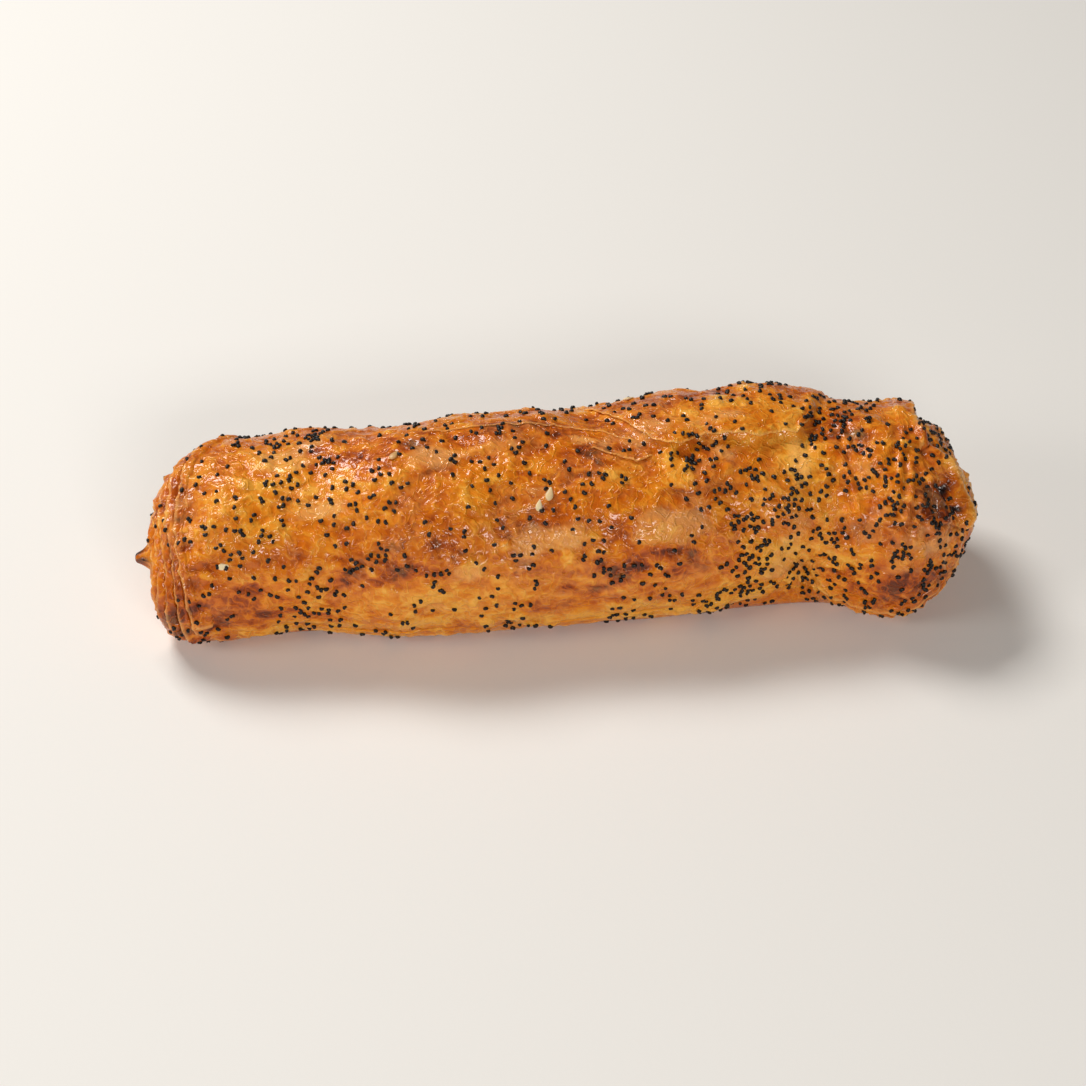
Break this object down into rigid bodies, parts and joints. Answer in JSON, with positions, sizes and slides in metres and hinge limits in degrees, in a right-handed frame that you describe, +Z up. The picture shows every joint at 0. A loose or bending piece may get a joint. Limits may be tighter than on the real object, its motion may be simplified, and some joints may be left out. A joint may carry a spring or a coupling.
{
  "type": "rolled borek pastry",
  "caption": "Baked log of rolled filo dough, pinched into a knob at one end and folded shut in layers at the other, strewn with poppy and sesame seeds.",
  "frame": {"origin": "middle of the roll's footprint, on the surface it lies on", "axes": "+X along the roll from its folded end to its pinched knob, +Y to the back, +Z up"},
  "size_m": [0.1924, 0.0582, 0.0464],
  "materials": {
    "baked_crust": "egg-washed baked filo dough, golden to dark brown, satin to glossy, with blue-black poppy seeds and cream sesame seeds"
  },
  "bodies": {
    "root": {"borek_roll": "baked_crust"}
  },
  "joints": []
}
